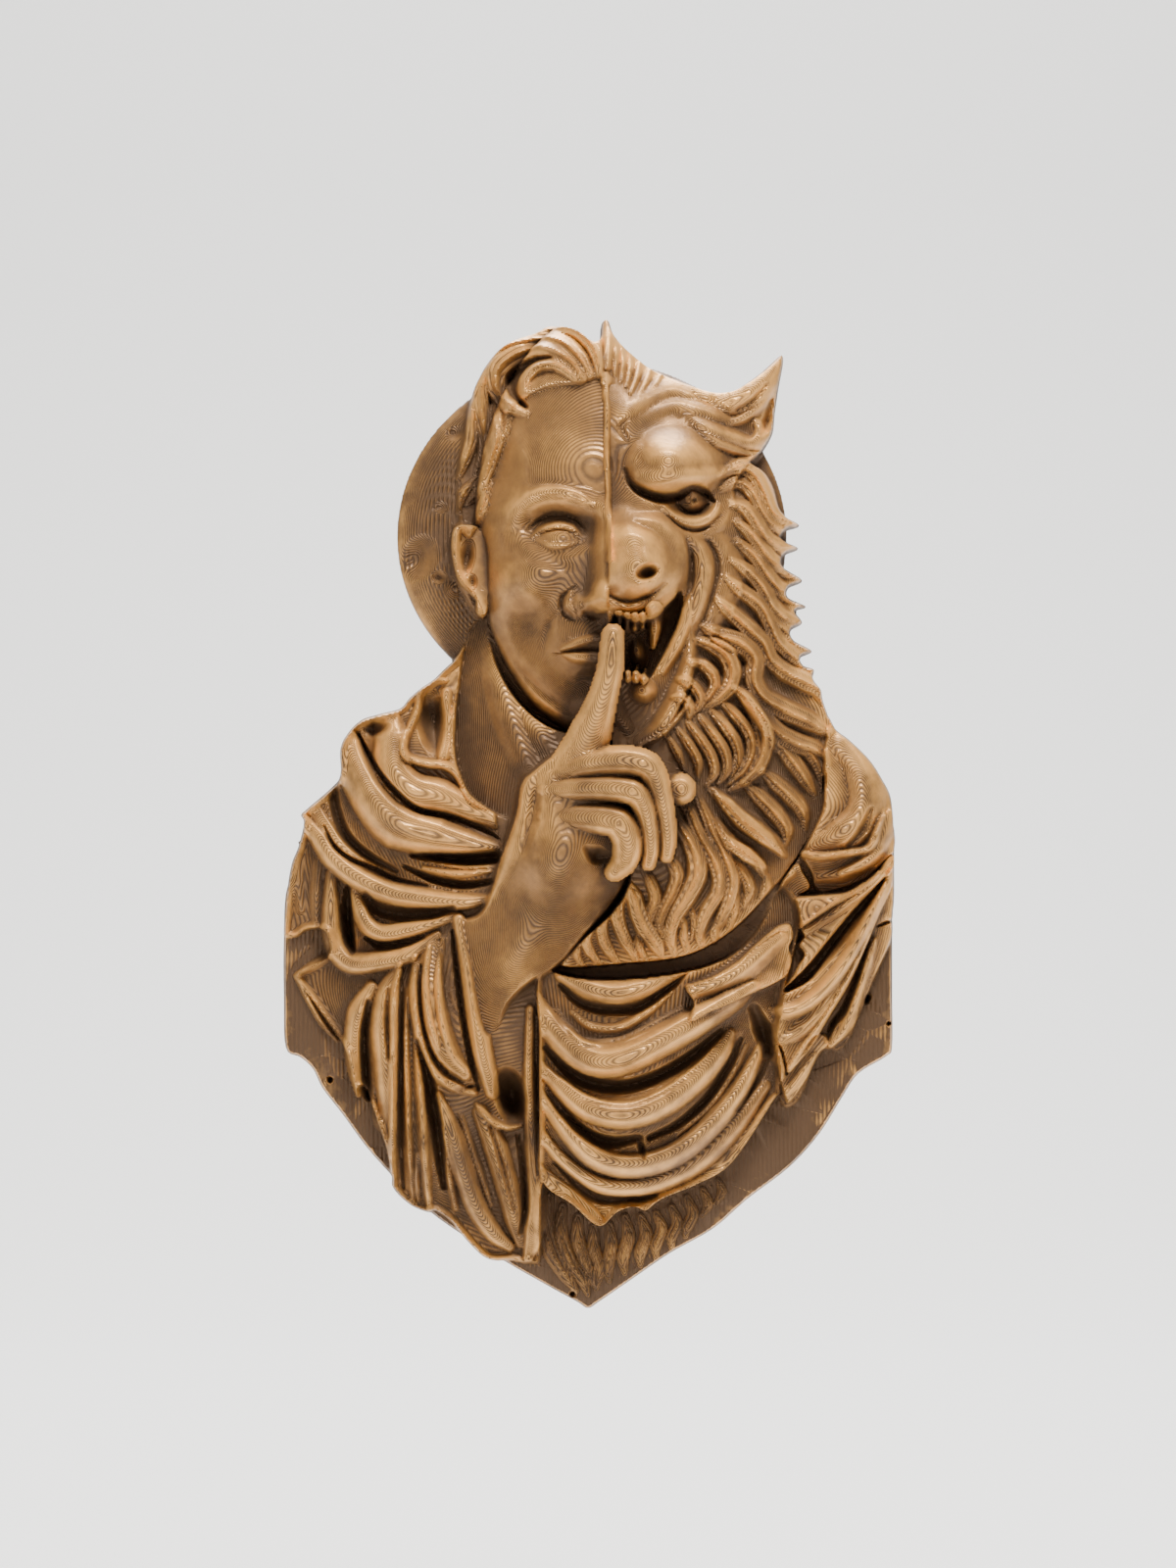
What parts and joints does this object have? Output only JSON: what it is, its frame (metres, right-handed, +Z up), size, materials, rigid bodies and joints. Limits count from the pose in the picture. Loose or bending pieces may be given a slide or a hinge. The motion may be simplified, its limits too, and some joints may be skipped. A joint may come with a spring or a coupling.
{
  "type": "werewolf wall sculpture",
  "caption": "Wall relief on a shield: a draped bust, half human and half wolf, with a finger raised to its lips before a full moon",
  "frame": {"origin": "centre of the flat back face that lies on the wall, behind the figure's chest", "axes": "+Z up, +X to the right seen from the front, the front faces -Y and the flat back faces +Y"},
  "size_m": [0.1579, 0.0502, 0.2547],
  "materials": {
    "stained_wood_print": "printed wood-filled plastic, antiqued with a dark brown stain in the hollows, satin"
  },
  "bodies": {
    "root": {"relief": "stained_wood_print"}
  },
  "joints": []
}
